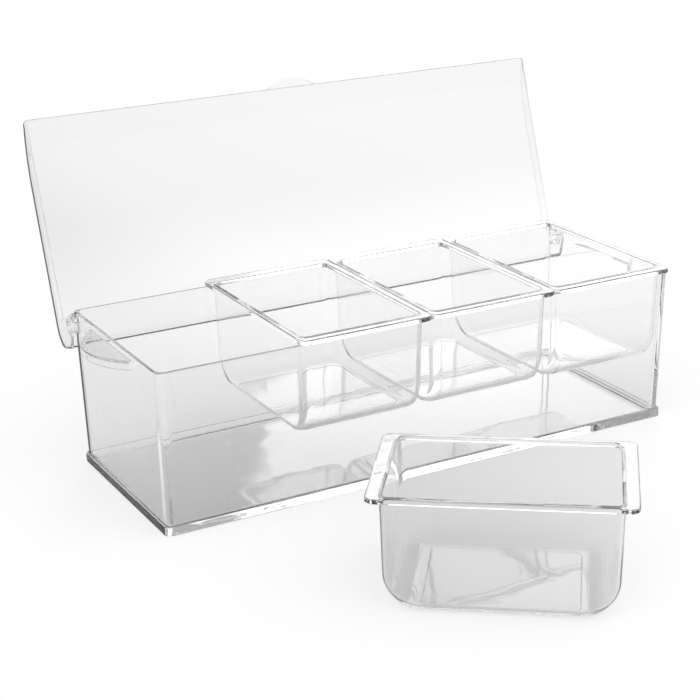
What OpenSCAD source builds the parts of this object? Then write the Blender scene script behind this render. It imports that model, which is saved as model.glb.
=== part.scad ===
// Clear plastic condiment server: a long tub for ice, one flip lid hinged at the back,
// and four lift-out trays. Three trays hang in the tub and the fourth stands in front.
// The origin is the middle of the tub's underside, +X along the tub, +Y to the hinge, +Z up.

/* [Tub] */
// Length of the tub over its rim
tub_len = 398; // [350:1:460]
// Depth of the tub over its rim, front to back
tub_wid = 148; // [135:1:175]
// Height of the tub
tub_h = 112; // [100:1:130]
// Thickness of the tub's walls
tub_wall = 2.5; // [2:0.1:3]
// Thickness of the tub's floor
tub_floor = 3; // [2:0.5:5]
// How far each wall leans in from the rim down to the table
tub_lean = 2.4; // [1:0.2:5]
// Outside radius of the tub's upright corners
tub_corner_r = 3.5; // [2:0.5:8]
// Inside radius of the tub's upright corners
tub_inner_r = 5.5; // [2:0.5:8]
// Radius where the inner walls meet the floor
tub_fillet_r = 4; // [2:0.5:8]
// How far the foot stands out from the walls
foot_out = 2; // [1:0.5:5]
// Height of the foot
foot_h = 6.5; // [4:0.5:9]
// Radius of the foot's corners seen from above
foot_corner_r = 4.5; // [2:0.5:8]

/* [Grips] */
// How far the grips stand out from the end walls
grip_out = 18; // [12:1:24]
// Length of a grip along the end wall
grip_len = 74; // [60:1:84]
// Distance of the grips behind the middle of the end walls
grip_back = 4; // [0:0.5:6]
// Drop from the rim to the top of the grips
grip_drop = 4; // [2:0.5:6]
// Thickness of the grips
grip_t = 2.2; // [1.6:0.1:3]
// Height of the turned-down edge of the grips
grip_edge_h = 6.7; // [4:0.1:10]

/* [Hinge] */
// Distance of the hinge axis in front of the back rim's face
pivot_in = 8.1; // [7:0.1:10]
// Distance of the hinge axis below the rim
pivot_drop = 9.2; // [8:0.1:11]
// Radius of the hinge pins
pin_r = 3.5; // [2.5:0.1:4]
// Radial running gap between a pin and its bore
pin_gap = 0.05; // [0.03:0.01:0.08]
// Wall of plastic around the bore in its boss
boss_wall = 2; // [1.5:0.1:2.6]
// Drop from the rim to the top of the boss
boss_drop = 1.5; // [1:0.1:3]
// Depth of the ramp that leads the pin in over the boss
ramp_in = 2.5; // [1:0.1:3.5]
// Gap between a boss and the lid's cheek
cheek_gap = 0.4; // [0.3:0.05:0.8]

/* [Lid] */
// Thickness of the lid
lid_t = 2.2; // [1.8:0.1:2.8]
// Gap between the tub's rim and the inside of the lid's cheeks
lid_side_gap = 4.8; // [4:0.1:7]
// Gap between the closed lid and the tray rims below it
lid_clear = 0.7; // [0.5:0.1:2]
// How far the lid's front edge reaches past the tray rims
lid_front_reach = 1; // [0:0.5:4]
// Height of the domed lid from its free edge to its flat top
lid_rise = 11.2; // [8:0.2:14]
// Length over which the lid curves down to its front edge
lid_curve_len = 45; // [30:1:60]
// Radius of the rolled back edge
lid_roll_r = 20; // [17:0.5:22]
// Radius of the lid's corners seen from above
lid_corner_r = 3; // [2:0.5:6]
// Radius of the rounded end of a cheek around its pin
cheek_r = 6.5; // [5.5:0.1:8]
// How much narrower a cheek's neck is than its round end, on each side
cheek_neck = 0.5; // [0.3:0.1:1.5]
// Slope of a cheek's lower edge
cheek_slope = 30; // [20:1:40]
// Opening angle at which the rolled edge meets the back wall
open_angle = 108.6; // [107:0.1:112]
// Gap left between the rolled edge and the back wall at that angle
stop_gap = 0.3; // [0.2:0.05:0.6]

/* [Thumb tab] */
// Width of the thumb tab along the lid's front edge
tab_wid = 39; // [28:1:50]
// How far the thumb tab stands out
tab_out = 7; // [5:0.5:10]
// Thickness of the thumb tab
tab_t = 1.8; // [1.4:0.1:2]
// How far the tab's root runs into the lid's front edge
tab_root = 0.3; // [0.2:0.05:0.4]

/* [Trays] */
// Number of bays along the tub
bays = 4; // [4:1:4]
// Overall height of a tray
tray_h = 73.8; // [60:0.2:85]
// Thickness of a tray's walls and floor
tray_wall = 2.2; // [1.8:0.1:2.8]
// Thickness of the rim that a tray hangs by
rim_t = 3.2; // [2.4:0.1:4]
// How far the tray rims reach past the tub's front and back rims
rim_over = 4.1; // [2:0.1:6]
// Radius of the rim's corners
rim_corner_r = 6; // [3:0.5:8]
// Gap between neighbouring tray rims
rim_gap = 0.4; // [0.3:0.05:1]
// Gap between a tray's rim and the tub's rim that it hangs on
seat_gap = 0.2; // [0.1:0.05:0.4]
// Play between a tray and the tub's front and back walls
tray_play = 1.4; // [1:0.1:3]
// Play between an end tray and the tub's end wall
tray_end_play = 0.5; // [0.4:0.1:2]
// How far a tray's walls lean in from rim to floor
tray_lean = 1.6; // [0.8:0.2:4]
// Outside radius of a tray's upright corners
tray_corner_r = 7; // [5:0.5:13]
// Radius from a tray's short walls into its floor
tray_end_r = 21.5; // [12:0.5:26]
// Radius from a tray's long walls into its floor
tray_side_r = 4.5; // [3.5:0.5:14]
// Height of the foot under a tray
tray_foot_h = 1.5; // [1:0.1:2.5]
// Distance of the tray's foot in from the edge of the flat underside
tray_foot_in = 0.6; // [0:0.1:4]

/* [Tray taken out] */
// Place of the loose tray's middle along the tub
loose_x = -47.2; // [-120:0.1:120]
// Place of the loose tray's middle in front of the tub's middle
loose_y = -233.5; // [-300:0.1:-220]
// Turn of the loose tray away from its place in the tub
loose_turn = 53.4; // [0:0.1:90]

/* [Hidden] */

clear_tub = [0.86, 0.89, 0.91, 0.45];
clear_lid = [0.92, 0.94, 0.95, 0.35];
clear_tray = [0.80, 0.86, 0.90, 0.45];

// Roundness of the hulled shells, of small bores and pins, and of the long arcs
shell_fn = 32;
bore_fn = 64;
arc_fn = 180;
// Thickness of the slices that a shell is hulled from
slice = 0.01;
// Angle between the slices of a rounded base edge
base_step = 15;
// Length by which a cut runs past the face that it opens
past = 1;

// Bays and trays
bay_pitch = tub_len / bays;
rim_len_x = bay_pitch - rim_gap;
rim_len_y = tub_wid + 2 * rim_over;
tray_len_x = 2 * (tub_len / 2 - tub_wall - tray_end_play - (bays - 1) / 2 * bay_pitch);
tray_len_y = tub_wid - 2 * tub_wall - 2 * tray_play;
tray_body_h = tray_h - rim_t;
hung_z = tub_h + seat_gap - tray_body_h;
rim_top_z = hung_z + tray_h;

// Hinge axis, and the lid's outline in its own frame: the axis is the origin, the lid is closed
pivot_y = tub_wid / 2 - pivot_in;
pivot_z = tub_h - pivot_drop;
bore_r = pin_r + pin_gap;
boss_r = bore_r + boss_wall;
cheek_in_x = tub_len / 2 + lid_side_gap;
cheek_out_x = cheek_in_x + lid_t;
boss_x = cheek_in_x - cheek_gap;
lid_low = rim_top_z + lid_clear - pivot_z;
lid_top = lid_low + lid_rise;
lid_front = pivot_y + tub_wid / 2 + rim_over + lid_front_reach;

// The rolled edge lies where it meets the leaning back wall at the opening angle
wall_slope = tub_lean / tub_h;
wall_y = tub_wid / 2 - wall_slope * pivot_drop - pivot_y + stop_gap;
lid_back = (wall_y + lid_low * (wall_slope * cos(open_angle) - sin(open_angle)))
    / (cos(open_angle) + wall_slope * sin(open_angle));
roll_y = lid_back - sqrt(pow(lid_roll_r, 2) - pow(lid_roll_r - lid_rise + lid_t, 2));
curve_drop = lid_rise - lid_t;
curve_r = (pow(lid_curve_len, 2) + pow(curve_drop, 2)) / (2 * curve_drop);
tab_r = (pow(tab_wid / 2, 2) + pow(tab_out, 2)) / (2 * tab_out);
grip_r = (pow(grip_len / 2, 2) + pow(grip_out, 2)) / (2 * grip_out);

// Flat plate with round corners, centred on the origin
module rounded_plate(len_x, len_y, r) {
    square([len_x - 2 * r, len_y], center = true);
    square([len_x, len_y - 2 * r], center = true);
    for (sx = [-1, 1], sy = [-1, 1])
        translate([sx * (len_x / 2 - r), sy * (len_y / 2 - r)]) circle(r);
}

// Inset of a quarter-round base edge of radius r at height z above the base
function base_inset(r, z) = z >= r ? 0 : r - sqrt(pow(r, 2) - pow(r - z, 2));

// Solid with round upright corners that leans in towards a rounded base. base_rx rounds
// the walls that face along X, and base_ry the walls that face along Y
module rounded_pan(len_x, len_y, base_z, top_z, lean_per_mm, corner_r, base_rx, base_ry) {
    deep_r = max(base_rx, base_ry);
    hull() {
        translate([0, 0, top_z - slice])
            linear_extrude(slice) rounded_plate(len_x, len_y, corner_r, $fn = shell_fn);
        for (a = [0 : base_step : 90]) {
            rise = deep_r * (1 - cos(a));
            lean = lean_per_mm * (top_z - base_z - rise);
            translate([0, 0, base_z + rise]) linear_extrude(slice) rounded_plate(
                len_x - 2 * (lean + base_inset(base_rx, rise)),
                len_y - 2 * (lean + base_inset(base_ry, rise)),
                corner_r, $fn = shell_fn);
        }
    }
}

// Half-moon grip on the +X end wall: a plate with a turned-down edge
module grip() {
    grip_top = tub_h - grip_drop;
    grip_x = tub_len / 2 + grip_out - grip_r;
    difference() {
        translate([grip_x, grip_back, grip_top - grip_edge_h])
            cylinder(h = grip_edge_h, r = grip_r, $fn = arc_fn);
        translate([grip_x, grip_back, grip_top - grip_edge_h - past])
            cylinder(h = grip_edge_h + past - grip_t, r = grip_r - grip_t, $fn = arc_fn);
        translate([tub_len / 2 - tub_wall / 2 - 2 * grip_r, grip_back - grip_r, 0])
            cube([2 * grip_r - tub_lean * grip_drop / tub_h, 2 * grip_r, tub_h]);
    }
}

// Boss on the +X end wall that holds a pin, with a ramp over its top for snapping the pin in
module boss() {
    boss_top = pivot_drop - boss_drop;
    wall_mid_x = tub_len / 2 - tub_wall;
    difference() {
        translate([wall_mid_x, pivot_y, pivot_z]) rotate([90, 0, 90])
            linear_extrude(boss_x - wall_mid_x) {
                circle(boss_r, $fn = bore_fn);
                translate([-boss_r, 0]) square([2 * boss_r, boss_top]);
            }
        translate([boss_x, pivot_y - boss_r - past, pivot_z + boss_top]) rotate([-90, 0, 0])
            linear_extrude(2 * (boss_r + past))
                polygon([[-ramp_in, -past], [past, -past], [past, boss_wall], [0, boss_wall]]);
    }
}

// Tub: leaning walls on a foot, two grips and two hinge bosses
module tub() {
    inner_slope = tub_lean / tub_h;
    color(clear_tub) difference() {
        union() {
            rounded_pan(tub_len, tub_wid, 0, tub_h, inner_slope, tub_corner_r, slice, slice);
            linear_extrude(foot_h) rounded_plate(
                tub_len - 2 * tub_lean + 2 * foot_out,
                tub_wid - 2 * tub_lean + 2 * foot_out,
                foot_corner_r, $fn = bore_fn);
            for (side = [0, 1]) mirror([side, 0, 0]) {
                grip();
                boss();
            }
        }
        rounded_pan(
            tub_len - 2 * tub_wall + 2 * past * inner_slope,
            tub_wid - 2 * tub_wall + 2 * past * inner_slope,
            tub_floor, tub_h + past, inner_slope,
            tub_inner_r, tub_fillet_r, tub_fillet_r);
        translate([-cheek_out_x, pivot_y, pivot_z]) rotate([0, 90, 0])
            cylinder(h = 2 * cheek_out_x, r = bore_r, $fn = bore_fn);
    }
}

// Side outline of the closed lid, drawn in by t from its outer face, down to the level low:
// a long shallow curve at the front, a flat top and a rolled back edge
module lid_outline(t, low) {
    difference() {
        translate([-lid_front - past, low])
            square([lid_front + lid_back + 2 * past, lid_top - t - low]);
        difference() {
            translate([-lid_front - 2 * past, low - past])
                square([lid_curve_len + 2 * past, lid_top - low + 2 * past]);
            translate([lid_curve_len - lid_front, lid_top - curve_r])
                circle(curve_r - t, $fn = 2 * arc_fn);
        }
        difference() {
            translate([roll_y, low - past]) square([lid_roll_r, lid_top - low + 2 * past]);
            translate([roll_y, lid_top - lid_roll_r]) circle(lid_roll_r - t, $fn = arc_fn);
        }
    }
}

// Outline of a cheek: a plate that hangs from the lid's end and ends round about the pin
module cheek_outline() {
    neck_r = cheek_r - cheek_neck;
    far = lid_roll_r + cheek_r;
    circle(cheek_r, $fn = bore_fn);
    intersection() {
        polygon([
            [-neck_r, 0], [neck_r * sin(cheek_slope), -neck_r * cos(cheek_slope)],
            [far * cos(cheek_slope), far * sin(cheek_slope) - neck_r / cos(cheek_slope)],
            [far * cos(cheek_slope), lid_low + lid_t], [-neck_r, lid_low + lid_t]
        ]);
        translate([roll_y, lid_top - lid_roll_r]) circle(lid_roll_r, $fn = arc_fn);
    }
}

// Extrudes a side outline to the given length, centred along X
module along_x(len_x) {
    translate([-len_x / 2, 0, 0]) rotate([90, 0, 90]) linear_extrude(len_x) children();
}

// Closed lid with its hinge axis on the origin
module closed_lid() {
    plan_len = lid_front + lid_back;
    plan_mid = (lid_back - lid_front) / 2;
    intersection() {
        union() {
            difference() {
                along_x(2 * (cheek_out_x + past)) lid_outline(0, lid_low);
                along_x(2 * cheek_in_x) lid_outline(lid_t, lid_low - past);
            }
            for (side = [-1, 1]) translate([side * (cheek_in_x + (lid_t + past) / 2), 0, 0])
                along_x(lid_t + past) cheek_outline();
        }
        translate([0, plan_mid, -lid_front])
            linear_extrude(2 * lid_front)
                rounded_plate(2 * cheek_out_x, plan_len, lid_corner_r, $fn = bore_fn);
    }
    intersection() {
        translate([0, tab_r - tab_out - lid_front, lid_low])
            cylinder(h = tab_t, r = tab_r, $fn = arc_fn);
        translate([-tab_wid / 2, -lid_front - tab_out, lid_low])
            cube([tab_wid, tab_out + tab_root, tab_t]);
    }
    pin_x = tub_len / 2 - tub_wall;
    for (side = [0, 1]) mirror([side, 0, 0]) translate([pin_x, 0, 0]) rotate([0, 90, 0])
        cylinder(h = cheek_in_x + lid_t / 2 - pin_x, r = pin_r, $fn = bore_fn);
}

// Lid: stands open, leaning on the tub's back wall
module lid() {
    color(clear_lid) translate([0, pivot_y, pivot_z]) rotate([-open_angle, 0, 0]) closed_lid();
}

// One tray standing on the origin, with its long way along Y
module tray() {
    slope = tray_lean / tray_body_h;
    flat_x = tray_len_x - 2 * (tray_lean + tray_side_r + tray_foot_in);
    flat_y = tray_len_y - 2 * (tray_lean + tray_end_r + tray_foot_in);
    color(clear_tray) difference() {
        union() {
            rounded_pan(tray_len_x, tray_len_y, tray_foot_h, tray_h, slope,
                tray_corner_r, tray_side_r, tray_end_r);
            translate([0, 0, tray_body_h])
                linear_extrude(rim_t)
                    rounded_plate(rim_len_x, rim_len_y, rim_corner_r, $fn = bore_fn);
            linear_extrude(tray_foot_h + tray_wall / 2)
                rounded_plate(flat_x, flat_y, tray_corner_r, $fn = bore_fn);
        }
        rounded_pan(
            tray_len_x - 2 * tray_wall + 2 * past * slope,
            tray_len_y - 2 * tray_wall + 2 * past * slope,
            tray_foot_h + tray_wall, tray_h + past, slope,
            tray_corner_r - tray_wall, tray_side_r - tray_wall, tray_end_r - tray_wall);
    }
}

// A tray hanging in bay 1 to 4, counted from the left
module hung_tray(bay) {
    translate([(bay - (bays + 1) / 2) * bay_pitch, 0, hung_z]) tray();
}

module tray_bay_2() { hung_tray(2); }
module tray_bay_3() { hung_tray(3); }
module tray_bay_4() { hung_tray(4); }

// The tray taken out of bay 1 stands on the table
module tray_loose() {
    translate([loose_x, loose_y, 0]) rotate([0, 0, loose_turn]) tray();
}

tub();
lid();
tray_bay_2();
tray_bay_3();
tray_bay_4();
tray_loose();
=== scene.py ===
import math
import bpy
import numpy as np
from mathutils import Matrix


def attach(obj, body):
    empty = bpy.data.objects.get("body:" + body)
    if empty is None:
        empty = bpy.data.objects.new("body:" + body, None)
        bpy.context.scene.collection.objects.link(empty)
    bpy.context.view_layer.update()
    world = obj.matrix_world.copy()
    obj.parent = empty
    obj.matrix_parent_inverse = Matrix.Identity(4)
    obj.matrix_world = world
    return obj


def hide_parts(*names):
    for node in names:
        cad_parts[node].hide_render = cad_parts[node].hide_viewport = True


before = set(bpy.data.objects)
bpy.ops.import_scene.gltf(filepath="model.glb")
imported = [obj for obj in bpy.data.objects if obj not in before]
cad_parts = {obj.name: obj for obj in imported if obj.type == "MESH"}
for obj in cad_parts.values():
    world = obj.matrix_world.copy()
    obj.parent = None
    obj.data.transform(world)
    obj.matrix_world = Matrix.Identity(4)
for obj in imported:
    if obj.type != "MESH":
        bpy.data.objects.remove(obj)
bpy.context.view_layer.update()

# Camera, at the photograph's place. The four long edges of the tub and the edges of the tray
# that stands in front fix its place and lens.
camera_place = (-0.5697, -1.0096, 0.4879)
camera_heading, camera_tilt, camera_roll = -28.45, 70.07, -1.20
camera_lens, camera_sensor = 88.95, 36.0
camera = bpy.data.objects.new("camera", bpy.data.cameras.new("camera"))
camera.data.lens = camera_lens
camera.data.sensor_width = camera_sensor
camera.matrix_world = (
    Matrix.Translation(camera_place)
    @ Matrix.Rotation(math.radians(camera_heading), 4, "Z")
    @ Matrix.Rotation(math.radians(camera_tilt), 4, "X")
    @ Matrix.Rotation(math.radians(camera_roll), 4, "Z")
)
bpy.context.collection.objects.link(camera)
scene = bpy.context.scene
scene.camera = camera
scene.view_settings.view_transform = "Standard"


# Studio: a white table that runs back out of sight, a broad soft light low behind it to the
# right, and a wall behind that is dim elsewhere. Clear plastic shows these: the light makes its
# rims white and puts bright patches in its floors, and the dim wall greys its faces.
class Value:
    """A shader socket that arithmetic can be written with: each operator adds its Math node."""

    def __init__(self, tree, socket):
        self.tree = tree
        self.socket = socket

    def node(self, kind, settings=None, **inputs):
        """Adds a node. Settings are attributes, set first. Inputs are values or links, named as
        the socket is, with _ for a space, or i0, i1 and so on by number."""
        made = self.tree.nodes.new(kind)
        for name, setting in (settings or {}).items():
            setattr(made, name, setting)
        for name, value in inputs.items():
            numbered = name[0] == "i" and name[1:].isdigit()
            key = int(name[1:]) if numbered else name.replace("_", " ")
            if isinstance(value, Value):
                self.tree.links.new(value.socket, made.inputs[key])
            else:
                made.inputs[key].default_value = value
        return made

    def out(self, kind, settings=None, output=0, **inputs):
        """The same, and gives one output of the new node as a Value."""
        return Value(self.tree, self.node(kind, settings, **inputs).outputs[output])

    def math(self, operation, left, right):
        """A Math node on two values or numbers."""
        return self.out("ShaderNodeMath", {"operation": operation}, i0=left, i1=right)

    def __add__(self, other):
        return self.math("ADD", self, other)

    def __mul__(self, other):
        return self.math("MULTIPLY", self, other)

    def __sub__(self, other):
        return self.math("SUBTRACT", self, other)

    def __rsub__(self, other):
        return self.math("SUBTRACT", other, self)

    __radd__ = __add__
    __rmul__ = __mul__

    def band(self, low, high):
        """0 below low, 1 above high, and a smooth step between."""
        return self.out(
            "ShaderNodeMapRange", {"interpolation_type": "SMOOTHSTEP"},
            Value=self, From_Min=low, From_Max=high)


def shader_tree(owner):
    """Clears the node tree of a material or world and gives a Value to build it from."""
    owner.use_nodes = True
    owner.node_tree.nodes.clear()
    return Value(owner.node_tree, None)


# The table lies a hair below the plastic, which would look wet if the two met. Its glow isn't a
# real table's. Through plastic it is stronger behind the tub and to the right, and weaker far
# back. All the amounts were tuned from the front view, to match the photograph's tones.
white = (1, 1, 1, 1)
floor_size, floor_z = 12.0, -0.0002
floor_colour = (0.55, 0.55, 0.55, 1.0)
glow_seen, glow_in_gloss, glow_through = 0.61, 0.26, 0.31
glow_behind, behind_band = 0.20, (-0.12, 0.15)
glow_right, right_band = 0.15, (-0.15, 0.15)
glow_far, far_band = -0.155, (0.3, 0.7)
far_right_share, far_right_band = 0.7, (0.0, 0.6)
floor_mesh = bpy.data.meshes.new("table_top")
half_floor = floor_size / 2
floor_mesh.from_pydata(
    [(-half_floor, -half_floor, floor_z), (half_floor, -half_floor, floor_z),
     (half_floor, half_floor, floor_z), (-half_floor, half_floor, floor_z)], [], [(0, 1, 2, 3)])
floor = bpy.data.objects.new("table_top", floor_mesh)
bpy.context.collection.objects.link(floor)
floor_material = bpy.data.materials.new("white_table")
floor_mesh.materials.append(floor_material)
tree = shader_tree(floor_material)
spot = tree.node("ShaderNodeSeparateXYZ", Vector=tree.out("ShaderNodeTexCoord", output="Object"))
spot_x, spot_y = (Value(tree.tree, spot.outputs[axis]) for axis in ("X", "Y"))
light_path = tree.node("ShaderNodeLightPath")
seen = Value(tree.tree, light_path.outputs["Is Camera Ray"])
seen_in_gloss = Value(tree.tree, light_path.outputs["Is Glossy Ray"])
seen_through = Value(tree.tree, light_path.outputs["Is Transmission Ray"])
through = glow_through + glow_behind * spot_y.band(*behind_band)
through = through + glow_right * spot_x.band(*right_band)
far_share = 1.0 - (1.0 - far_right_share) * spot_x.band(*far_right_band)
through = through + glow_far * spot_y.band(*far_band) * far_share
glow = tree.math("MAXIMUM", seen_in_gloss * glow_in_gloss, seen_through * through)
white_table = tree.out(
    "ShaderNodeAddShader",
    i0=tree.out("ShaderNodeBsdfDiffuse", Color=floor_colour),
    i1=tree.out(
        "ShaderNodeEmission", Color=white,
        Strength=tree.math("MAXIMUM", seen * glow_seen, glow)))
tree.node("ShaderNodeOutputMaterial", Surface=white_table)

# The room: even all round, dim low down behind, and the soft light between two turns to the
# right of straight back and between two heights. A band gives where each edge starts and ends.
room_level, dim_level, soft_light_level = 0.95, 0.42, 2.1
light_left, left_band = math.radians(25), (-0.008, 0.012)
light_right, light_right_band = math.radians(50), (-0.03, 0.03)
light_foot_band, light_head_band = (0.13, 0.17), (0.5, 0.6)
dim_side_band, dim_foot_band = (0.0, 0.3), (0.0, 0.1)
world = bpy.data.worlds.new("room")
scene.world = world
tree = shader_tree(world)
direction = tree.out("ShaderNodeTexCoord", output="Generated")
parts = tree.node("ShaderNodeSeparateXYZ", Vector=direction)
across, back, up = (Value(tree.tree, parts.outputs[axis]) for axis in ("X", "Y", "Z"))
past_left = across * math.cos(light_left) - back * math.sin(light_left)
short_of_right = back * math.sin(light_right) - across * math.cos(light_right)
soft_light = past_left.band(*left_band) * short_of_right.band(*light_right_band)
soft_light = soft_light * up.band(*light_foot_band) * (1.0 - up.band(*light_head_band))
dim = back.band(*dim_side_band) * up.band(*dim_foot_band) * (1.0 - soft_light)
light_path = tree.node("ShaderNodeLightPath")
seen = Value(tree.tree, light_path.outputs["Is Camera Ray"])
level = room_level + dim * (dim_level - room_level) + soft_light * (soft_light_level - room_level)
level = level + seen * (1.0 - level)
tree.node(
    "ShaderNodeOutputWorld",
    Surface=tree.out("ShaderNodeBackground", Color=white, Strength=level))

# Light passes up to eight clear walls on its way through. Light that turns inside a wall more
# than most_turns_inside times is dropped, and that limit, not the plastic, makes the edges
# grey: 16 turns them black and 120 nearly white. 36 was picked to match the photograph.
most_bounces, most_turns_inside, most_soft_bounces = 120, 36, 4
scene.cycles.max_bounces = most_bounces
scene.cycles.transmission_bounces = most_bounces
scene.cycles.glossy_bounces = most_turns_inside
scene.cycles.diffuse_bounces = most_soft_bounces

# Tub: one clear moulding. Its walls lean in a little towards a foot that stands out all round,
# so that it draws out of the mould. Grips and hinge bosses are moulded on the end walls.
MM = 0.001
tub_len, tub_wid, tub_h, tub_wall, tub_floor = 398.0, 148.0, 112.0, 2.5, 3.0
tub_lean, tub_corner_r, tub_inner_r, tub_fillet_r = 2.4, 3.5, 5.5, 4.0
foot_out, foot_h, foot_corner_r = 2.0, 6.5, 4.5
tub_edges = [0.8, 1.1, 0.6, 0.9, 0.9]
underside_in, tub_floor_in = 20.0, 15.0
grip_out, grip_len, grip_back, grip_drop, grip_t, grip_edge_h = 18.0, 74.0, 4.0, 4.0, 2.2, 6.7
grip_edges = [1.2, 0.7, 0.7, 1.2]
hub_r, block_side, block_below, block_above, block_r = 1.0, 6.0, 9.0, 3.0, 1.0
pivot_in, pivot_drop, pin_r, pin_gap, boss_wall, boss_drop = 8.1, 9.2, 3.5, 0.05, 2.0, 1.5
soft_edge, over_cut, ramp_lift = 0.4, 1.0, 0.1
tub_colour, tub_gloss, tub_wave = (0.98, 0.981, 0.981, 1), 0.012, 0.0006


def ring_stack(rows, corner_steps=9, side_points=9):
    """Rings of points round rectangles with round corners. A row is half length, half width,
    height and corner radius. Each corner is a quarter turn about its own centre, and between
    corners the points lie at (1 - cos(pi s)) / 2 of the straight side, so closer at its ends."""
    rows = np.asarray(rows, float)
    half, height, radius = rows[:, :2], rows[:, 2], rows[:, 3]
    turn = np.linspace(0, np.pi / 2, corner_steps + 1)
    angle = np.arange(4)[:, None] * np.pi / 2 + turn
    sign = np.array([[1, 1], [-1, 1], [-1, -1], [1, -1]])
    centre = sign * (half - radius[:, None])[:, None, :]
    round_corner = np.stack([np.cos(angle), np.sin(angle)], -1)
    corner = centre[:, :, None, :] + radius[:, None, None, None] * round_corner
    after = np.roll(corner[:, :, :1, :], -1, axis=1)
    share = (1 - np.cos(np.pi * np.arange(1, side_points + 1) / (side_points + 1))) / 2
    side = corner[:, :, -1:, :] + (after - corner[:, :, -1:, :]) * share[:, None]
    flat = np.concatenate([corner, side], axis=2).reshape(len(rows), -1, 2)
    tall = np.broadcast_to(height[:, None, None], flat.shape[:2] + (1,))
    return np.concatenate([flat, tall], axis=2)


def soften(corners, reach, steps=5, guard_share=0.35):
    """Rounds the corners of a row of sizes whose first is a length and whose third a height,
    leaving its two ends: each corner B becomes (1 - t)^2 A + 2 t (1 - t) B + t^2 C, where A and
    C lie reach before and after it. A point just outside A and C keeps the flats flat."""
    corners = np.asarray(corners, float)
    middle = corners[1:-1]
    reach = np.broadcast_to(reach, len(middle))[:, None]
    before = corners[:-2] - middle
    after = corners[2:] - middle
    before = before / np.linalg.norm(before[:, [0, 2]], axis=1, keepdims=True)
    after = after / np.linalg.norm(after[:, [0, 2]], axis=1, keepdims=True)
    t = np.linspace(0, 1, steps + 1)[None, :, None]
    start = (middle + before * reach)[:, None, :]
    end = (middle + after * reach)[:, None, :]
    curve = (1 - t) ** 2 * start + 2 * t * (1 - t) * middle[:, None, :] + t ** 2 * end
    guard = (guard_share * reach)[:, None, :]
    curve = np.concatenate(
        [start + before[:, None, :] * guard, curve, end + after[:, None, :] * guard], axis=1)
    return np.concatenate([corners[:1], curve.reshape(-1, corners.shape[1]), corners[-1:]])


def pan_wall(top, base_z, lean, base_x, base_y, step=6.0):
    """Rows of a leaning wall from its rounded base up to its top row. At height h over the base
    the wall stands in by lean for each unit below the top, and by r - sqrt(r^2 - (r - h)^2)
    more below a base radius r, which is base_x on the end walls and base_y on the long ones."""
    half_x, half_y, top_z, corner = top
    deep = max(base_x, base_y)
    height = deep * (1 - np.cos(np.radians(np.arange(0, 90 + step / 2, step))))

    def inset(r):
        below = np.clip(r - height, 0, r)
        return r - np.sqrt(r ** 2 - below ** 2)

    lean_in = lean * (top_z - base_z - height)
    rows = [half_x - lean_in - inset(base_x), half_y - lean_in - inset(base_y),
            base_z + height, np.full_like(height, corner)]
    return np.stack(rows, axis=1)


def closed_mesh(name, rings):
    """Joins rings of points, bottom first and counter-clockwise, with quads, and closes the
    first and the last with a flat face, so that the faces point outwards."""
    count, around = rings.shape[:2]
    index = np.arange(count * around).reshape(count, around)
    after = np.roll(index, -1, axis=1)
    quads = np.stack([index[:-1], after[:-1], after[1:], index[1:]], axis=-1).reshape(-1, 4)
    mesh = bpy.data.meshes.new(name)
    faces = quads.tolist() + [index[0, ::-1].tolist(), index[-1].tolist()]
    mesh.from_pydata((rings.reshape(-1, 3) * MM).tolist(), [], faces)
    mesh.update()
    return mesh


def lathe(outline, centre, around=160):
    """Turns an outline of (radius, height) about an upright axis through centre: each point
    goes to centre + radius (cos a, sin a) at its height."""
    angle = np.linspace(0, 2 * np.pi, around, endpoint=False)
    outline = np.asarray(outline, float)
    ring = np.stack([np.cos(angle), np.sin(angle)], -1)
    flat = outline[:, 0, None, None] * ring[None] + np.asarray(centre)[:2]
    tall = np.broadcast_to(outline[:, 1, None, None], flat.shape[:2] + (1,))
    return np.concatenate([flat, tall], axis=2)


def plate(outline, low_x, high_x, edge=0.5, steps=4):
    """A flat plate across X with softened edges. The outline is (y, z) points, counter-clockwise
    seen from +X. Near each face the outline is drawn in by edge (1 - sin a) while x goes
    edge (1 - cos a) into the plate."""
    outline = np.asarray(outline, float)
    along = np.roll(outline, -1, axis=0) - np.roll(outline, 1, axis=0)
    along = along / np.linalg.norm(along, axis=1, keepdims=True)
    inward = np.stack([-along[:, 1], along[:, 0]], -1)
    a = np.linspace(0, np.pi / 2, steps + 1)
    drawn = edge * (1 - np.sin(a))
    into = edge * (1 - np.cos(a))
    drawn = np.concatenate([drawn, drawn[::-1]])
    x = np.concatenate([low_x + into, high_x - into[::-1]])
    flat = outline[None] + inward[None] * drawn[:, None, None]
    side = np.broadcast_to(x[:, None, None], flat.shape[:2] + (1,))
    return np.concatenate([side, flat], axis=2)


def arc(centre, radius, start, end, steps):
    """Points centre + radius (cos a, sin a) from start to end, in degrees counter-clockwise."""
    a = np.radians(np.linspace(start, end, steps + 1))
    return np.stack([centre[0] + radius * np.cos(a), centre[1] + radius * np.sin(a)], -1)


def place_piece(name, mesh):
    """Puts a mesh into the scene as a piece whose object stays at the origin."""
    piece = bpy.data.objects.new(name, mesh)
    bpy.context.collection.objects.link(piece)
    return piece


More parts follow.
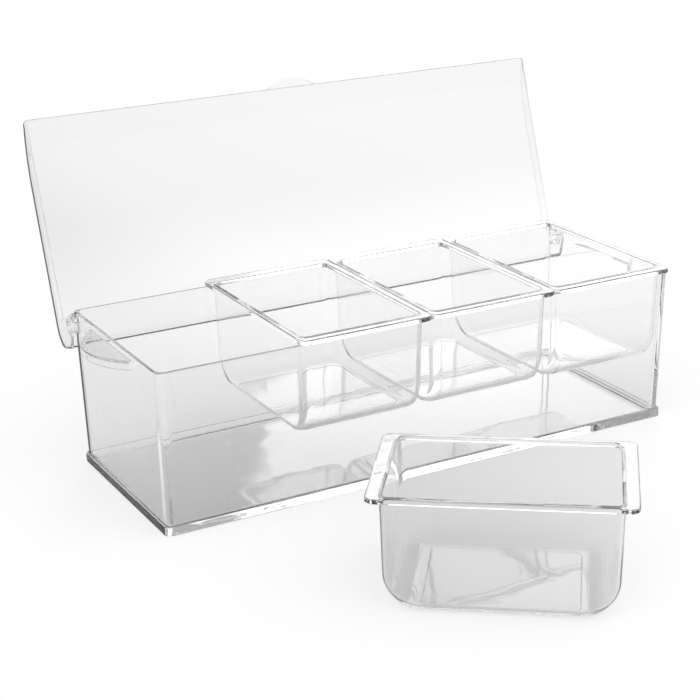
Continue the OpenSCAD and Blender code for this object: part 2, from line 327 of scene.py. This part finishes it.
def fuse(name, base, joined=(), cut=(), within=()):
    """Joins closed meshes to the base, cuts others out of it and keeps what lies within a
    third kind, and gives the new mesh."""
    piece = place_piece(name, base)
    tools = []
    for operation, meshes in (("UNION", joined), ("DIFFERENCE", cut), ("INTERSECT", within)):
        for number, mesh in enumerate(meshes):
            tool = place_piece(f"{name}_tool", mesh)
            tools.append(tool)
            step = piece.modifiers.new(f"{operation}_{number}", "BOOLEAN")
            step.operation = operation
            step.solver = "EXACT"
            step.object = tool
    graph = bpy.context.evaluated_depsgraph_get()
    fused = bpy.data.meshes.new_from_object(piece.evaluated_get(graph))
    for used in [piece] + tools:
        bpy.data.objects.remove(used)
    fused.name = name
    return fused


def finish_piece(name, mesh, body, node, material, sharp=32.0, flat_weight=100):
    """Shades a mesh smooth up to the sharp angle, with normals weighted so that the flats stay
    flat, and sets it in place of its node."""
    mesh.materials.clear()
    mesh.materials.append(material)
    mesh.shade_smooth()
    mesh.set_sharp_from_angle(angle=math.radians(sharp))
    piece = place_piece(name, mesh)
    weighted = piece.modifiers.new("flat_faces", "WEIGHTED_NORMAL")
    weighted.keep_sharp = True
    weighted.weight = flat_weight
    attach(piece, body)
    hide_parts(node)
    return piece


def clear_plastic(name, colour, gloss, wave):
    """Clear moulded styrene: colour is what one face lets through, gloss its roughness, and
    wave the height of the slow ripple that the mould and the cooling leave in its faces. A
    quicker ripple rides on the slow one, and handling dulls the faces here and there."""
    slow_scale, quick_scale, quick_share = 14.0, 38.0, 0.16
    handling_scale, handling_band, handling_more = 45.0, (0.5, 0.85), 1.5
    refraction = 1.5
    material = bpy.data.materials.new(name)
    tree = shader_tree(material)
    place = tree.out("ShaderNodeTexCoord", output="Object")
    slow = tree.out(
        "ShaderNodeTexNoise", Vector=place, Scale=slow_scale, Detail=1.5, Roughness=0.4)
    quick = tree.out(
        "ShaderNodeTexNoise", Vector=place, Scale=quick_scale, Detail=1.0, Distortion=0.6)
    ripple = slow + quick * quick_share
    handling = tree.out("ShaderNodeTexNoise", Vector=place, Scale=handling_scale, Detail=4.0)
    rough = gloss + handling.band(*handling_band) * (gloss * handling_more)
    bump = tree.out("ShaderNodeBump", Height=ripple, Strength=1.0, Distance=wave)
    shell = tree.node(
        "ShaderNodeBsdfPrincipled", Base_Color=colour, Roughness=rough, Normal=bump,
        Transmission_Weight=1.0, IOR=refraction)
    tree.node("ShaderNodeOutputMaterial", Surface=Value(tree.tree, shell.outputs["BSDF"]))
    return material


clear_tub = clear_plastic("clear_tub", tub_colour, tub_gloss, tub_wave)

slope = tub_lean / tub_h
foot_x = tub_len / 2 - tub_lean + foot_out
foot_y = tub_wid / 2 - tub_lean + foot_out
wall_at_foot = slope * (tub_h - foot_h)
inner_wall = pan_wall(
    (tub_len / 2 - tub_wall, tub_wid / 2 - tub_wall, tub_h, tub_inner_r),
    tub_floor, slope, tub_fillet_r, tub_fillet_r)
tub_rows = soften([
    (foot_x - underside_in, foot_y - underside_in, 0, foot_corner_r),
    (foot_x, foot_y, 0, foot_corner_r),
    (foot_x, foot_y, foot_h, foot_corner_r),
    (tub_len / 2 - wall_at_foot, tub_wid / 2 - wall_at_foot, foot_h, tub_corner_r),
    (tub_len / 2, tub_wid / 2, tub_h, tub_corner_r),
    (tub_len / 2 - tub_wall, tub_wid / 2 - tub_wall, tub_h, tub_inner_r),
    tuple(inner_wall[-1]),
], tub_edges)
floor_row = inner_wall[0] - (tub_floor_in, tub_floor_in, 0, 0)
tub_rows = np.concatenate([tub_rows, inner_wall[-2::-1], floor_row[None]])

grip_r = ((grip_len / 2) ** 2 + grip_out ** 2) / (2 * grip_out)
grip_x = tub_len / 2 + grip_out - grip_r
grip_top = tub_h - grip_drop
grip_rows = soften([
    (hub_r, 0, grip_top - grip_t), (grip_r - grip_t, 0, grip_top - grip_t),
    (grip_r - grip_t, 0, grip_top - grip_edge_h), (grip_r, 0, grip_top - grip_edge_h),
    (grip_r, 0, grip_top), (hub_r, 0, grip_top),
], grip_edges)[:, [0, 2]]
wall_middle = tub_len / 2 - tub_wall / 2 - slope * grip_drop
inner_block = ring_stack([
    (wall_middle, grip_r + block_side, z, block_r)
    for z in (grip_top - block_below, grip_top + block_above)])
grips = [
    fuse("grip", closed_mesh("grip", lathe(grip_rows, (side * grip_x, grip_back))),
         cut=[closed_mesh("block", inner_block)])
    for side in (-1, 1)]

pivot_y, pivot_z = tub_wid / 2 - pivot_in, tub_h - pivot_drop
bore_r = pin_r + pin_gap
boss_r, boss_top = bore_r + boss_wall, pivot_drop - boss_drop
lid_side_gap, cheek_gap, ramp_in = 4.8, 0.4, 2.5
cheek_in_x = tub_len / 2 + lid_side_gap
boss_x = cheek_in_x - cheek_gap
boss_outline = np.concatenate([
    arc((pivot_y, pivot_z), boss_r, 180, 360, 24),
    [(pivot_y + boss_r, pivot_z + boss_top), (pivot_y - boss_r, pivot_z + boss_top)]])
wall_inside_x = tub_len / 2 - slope * (pivot_drop + boss_r) - tub_wall / 2
ramp_z = pivot_z + boss_top
bosses = []
for side in (1, -1):
    corners = [(boss_x - ramp_in, ramp_z + ramp_lift), (boss_x + over_cut, ramp_z + ramp_lift),
               (boss_x + over_cut, ramp_z - boss_wall), (boss_x, ramp_z - boss_wall)][::side]
    ramp = np.array([
        [(side * x, y, z) for x, z in corners]
        for y in (pivot_y - boss_r - over_cut, pivot_y + boss_r + over_cut)])
    low, high = sorted((side * wall_inside_x, side * boss_x))
    bosses.append(fuse(
        "boss", closed_mesh("boss", plate(boss_outline, low, high, soft_edge)),
        cut=[closed_mesh("ramp", ramp)]))
round_arc = (0, 352.5, 47)
bore = plate(arc((pivot_y, pivot_z), bore_r, *round_arc), -tub_len, tub_len)
tub_mesh = fuse(
    "tub", closed_mesh("shell", ring_stack(tub_rows)),
    joined=grips + bosses, cut=[closed_mesh("bore", bore)])
finish_piece("clear_tub_shell", tub_mesh, "tub", "tub", clear_tub)

# Lid: one clear moulding, a shallow hood with a long curve at the front and a rolled back
# edge. Two cheeks hang from its ends and their pins turn in the tub's bosses. It stands open.
lid_t, lid_low, lid_rise = 2.2, 13.3, 11.2
lid_front, stop_gap = 145.0, 0.3
lid_curve_len, lid_roll_r, lid_corner_r = 45.0, 20.0, 3.0
cheek_r, cheek_neck, cheek_slope = 6.5, 0.5, 30.0
neck_reach, head_up, tip_past, plan_span = 1.2, 1.2, 5.0, (-20, 30)
open_angle = 108.6
tab_wid, tab_out, tab_t = 39.0, 7.0, 1.8
lid_edge, inner_front_in, inner_back_in, inner_corner_share = 0.6, 0.8, 1.3, 0.8
free_edge_bevel, inlay, tab_sink = 0.3, 0.03, 0.02
tab_edges, tab_root, tab_block_more, tab_block_span = [0.5, 0.7], 0.4, 2.0, (-3, 5)
lid_colour, lid_gloss, lid_wave = (0.965, 0.966, 0.966, 1), 0.012, 0.0008
clear_lid = clear_plastic("clear_lid", lid_colour, lid_gloss, lid_wave)

open_turn = math.radians(open_angle)
stop_y = tub_wid / 2 - slope * pivot_drop - pivot_y + stop_gap
lid_back = ((stop_y + lid_low * (slope * math.cos(open_turn) - math.sin(open_turn)))
            / (math.cos(open_turn) + slope * math.sin(open_turn)))
lid_top = lid_low + lid_rise
curve_drop = lid_rise - lid_t
curve_r = (lid_curve_len ** 2 + curve_drop ** 2) / (2 * curve_drop)
roll_y = lid_back - math.sqrt(lid_roll_r ** 2 - (lid_roll_r - lid_rise + lid_t) ** 2)
cheek_out_x = cheek_in_x + lid_t


def hood_height(y, inward):
    """Height of the closed hood over its hinge axis, drawn in by inward: a circle about
    (curve_end, top - curve_r) at the front, flat, and a circle about (roll_y, top - roll_r)."""
    curve_end = lid_curve_len - lid_front
    front = np.clip(curve_end - y, 0, curve_r - inward)
    rear = np.clip(y - roll_y, 0, lid_roll_r - inward)
    front_z = lid_top - curve_r + np.sqrt((curve_r - inward) ** 2 - front ** 2)
    rear_z = lid_top - lid_roll_r + np.sqrt((lid_roll_r - inward) ** 2 - rear ** 2)
    return np.where(y < curve_end, front_z, rear_z)


def hood_face(inward, front, back, edge):
    """Rings of one face of the hood, from its free edge to its middle. The ring at inset d lies
    at hood_height less the fall of the rounded edge, edge - sqrt(edge^2 - (edge - d)^2)."""
    a = np.radians(np.linspace(0, 90, 6))
    inset = np.concatenate([
        edge * (1 - np.cos(a)), np.arange(edge + 0.6, 18, 0.9), np.arange(20, 52, 3)])
    if edge == 0:
        inset = inset[5:]
    fall = edge - np.sqrt(edge ** 2 - np.clip(edge - inset, 0, edge) ** 2)
    corner = lid_corner_r - inner_corner_share * inward - np.minimum(inset, edge)
    rows = np.stack([
        cheek_out_x - inward - inset, (front + back) / 2 - inset, inset * 0, corner], 1)
    rings = ring_stack(rows, side_points=47)
    rings[:, :, 1] += (back - front) / 2
    rings[:, :, 2] = hood_height(rings[:, :, 1], inward) - fall[:, None]
    return rings


outer = hood_face(0.0, lid_front, lid_back, lid_edge)
inner = hood_face(lid_t, lid_front - inner_front_in, lid_back - inner_back_in, 0.0)
free_edge = np.stack([inner[0], outer[0], outer[0]])
free_edge[:, :, 2] = np.array([lid_low, lid_low, lid_low + free_edge_bevel])[:, None]
free_edge[1, :, :2] += free_edge_bevel * (inner[0, :, :2] - outer[0, :, :2]) / lid_t
hood = closed_mesh("hood", np.concatenate([inner[::-1], free_edge, outer]))

plan_mid = (lid_back - lid_front) / 2
plan_prism = ring_stack([
    (cheek_out_x - inlay, plan_mid + lid_front - inlay, z, lid_corner_r) for z in plan_span])
plan_prism[:, :, 1] += plan_mid
lean = math.radians(cheek_slope)
neck_r = cheek_r - cheek_neck
tip = (lid_back + tip_past) / math.cos(lean)
neck_y, cheek_head = neck_r * math.sin(lean) + neck_reach, lid_low + head_up
neck_fall = neck_r / math.cos(lean)
cheek_outline = np.concatenate([
    arc((0, 0), cheek_r, 180, 295, 24),
    [(neck_y, neck_y * math.tan(lean) - neck_fall),
     (tip * math.cos(lean), tip * math.sin(lean) - neck_fall),
     (tip * math.cos(lean), cheek_head), (-cheek_r, cheek_head)]])
cheeks, pins = [], []
pin_x = tub_len / 2 - tub_wall
for side in (1, -1):
    low, high = sorted((side * (cheek_in_x + inlay), side * (cheek_out_x - inlay)))
    cheeks.append(fuse(
        "cheek", closed_mesh("cheek", plate(cheek_outline, low, high, soft_edge)),
        within=[closed_mesh("plan", plan_prism)]))
    low, high = sorted((side * pin_x, side * (cheek_in_x + lid_t / 2)))
    pins.append(closed_mesh("pin", plate(arc((0, 0), pin_r, *round_arc), low, high, soft_edge)))

tab_r = ((tab_wid / 2) ** 2 + tab_out ** 2) / (2 * tab_out)
tab_rows = soften([
    (hub_r, 0, lid_low + tab_sink), (tab_r, 0, lid_low + tab_sink),
    (tab_r, 0, lid_low + tab_t), (hub_r, 0, lid_low + tab_t)], tab_edges)[:, [0, 2]]
tab_block = ring_stack([
    (tab_wid / 2 + tab_block_more, tab_out, lid_low + z, block_r) for z in tab_block_span])
tab_block[:, :, 1] -= lid_front + tab_out - tab_root
tab = fuse(
    "tab", closed_mesh("tab", lathe(tab_rows, (0, tab_r - tab_out - lid_front))),
    within=[closed_mesh("block", tab_block)])
lid_mesh = fuse("lid", hood, joined=cheeks + pins + [tab])
lid_mesh.transform(
    Matrix.Translation((0, pivot_y * MM, pivot_z * MM))
    @ Matrix.Rotation(-open_turn, 4, "X"))
finish_piece("clear_lid_hood", lid_mesh, "lid", "lid", clear_lid)

# Trays: four clear mouldings alike, with broad soft ends, a low foot and a rim plate. Three
# hang in the tub by their rims, and the one from the left bay stands on the table.
tray_h, tray_wall, rim_t, rim_over, rim_corner_r, rim_gap = 73.8, 2.2, 3.2, 4.1, 6.0, 0.4
bays, bay_pitch, seat_gap, tray_play, tray_end_play, tray_lean = 4, 99.5, 0.2, 1.4, 0.5, 1.6
tray_corner_r, tray_end_r, tray_side_r, tray_foot_h, tray_foot_in = 7.0, 21.5, 4.5, 1.5, 0.6
loose_x, loose_y, loose_turn = -47.2, -233.5, 53.4
tray_in, tray_step = 8.0, 3.0
foot_edges, rim_edges = [0.5, 0.4], [0.5, 0.5, 0.8, 0.9]
tray_colour, tray_gloss, tray_wave = (0.985, 0.986, 0.986, 1), 0.012, 0.0005
clear_tray = clear_plastic("clear_tray", tray_colour, tray_gloss, tray_wave)

rim_len_x, rim_len_y = bay_pitch - rim_gap, tub_wid + 2 * rim_over
tray_x = tub_len / 2 - tub_wall - tray_end_play - (bays - 1) / 2 * bay_pitch
tray_y = tub_wid / 2 - tub_wall - tray_play
tray_body_h = tray_h - rim_t
hung_z = tub_h + seat_gap - tray_body_h
tray_slope = tray_lean / tray_body_h
outside = pan_wall(
    (tray_x, tray_y, tray_h, tray_corner_r),
    tray_foot_h, tray_slope, tray_side_r, tray_end_r, tray_step)
inside = pan_wall(
    (tray_x - tray_wall, tray_y - tray_wall, tray_h, tray_corner_r - tray_wall),
    tray_foot_h + tray_wall, tray_slope, tray_side_r - tray_wall, tray_end_r - tray_wall,
    tray_step)
foot_half = outside[0, :2] - tray_foot_in
foot_rows = soften([
    (*(foot_half - tray_in), 0, tray_corner_r), (*foot_half, 0, tray_corner_r),
    (*foot_half, tray_foot_h, tray_corner_r), tuple(outside[0])], foot_edges)
under_rim = rim_t * tray_slope
rim_rows = soften([
    tuple(outside[-1]),
    (tray_x - under_rim, tray_y - under_rim, tray_body_h, tray_corner_r),
    (rim_len_x / 2, rim_len_y / 2, tray_body_h, rim_corner_r),
    (rim_len_x / 2, rim_len_y / 2, tray_h, rim_corner_r),
    (tray_x - tray_wall, tray_y - tray_wall, tray_h, tray_corner_r - tray_wall),
    tuple(inside[-1])], rim_edges)
tray_floor = inside[0] - (tray_in, tray_in, 0, 0)
tray_rings = ring_stack(np.concatenate([
    foot_rows[:-1], outside[:-1], rim_rows, inside[-2::-1], tray_floor[None]]))
places = {
    f"tray_bay_{bay}": ((bay - (bays + 1) / 2) * bay_pitch, 0, hung_z, 0.0)
    for bay in range(2, bays + 1)}
places["tray_loose"] = (loose_x, loose_y, 0, loose_turn)
for node, (x, y, z, turned) in places.items():
    tray_mesh = closed_mesh(node, tray_rings)
    tray_mesh.transform(
        Matrix.Translation((x * MM, y * MM, z * MM))
        @ Matrix.Rotation(math.radians(turned), 4, "Z"))
    finish_piece(f"clear_{node}", tray_mesh, node, node, clear_tray)
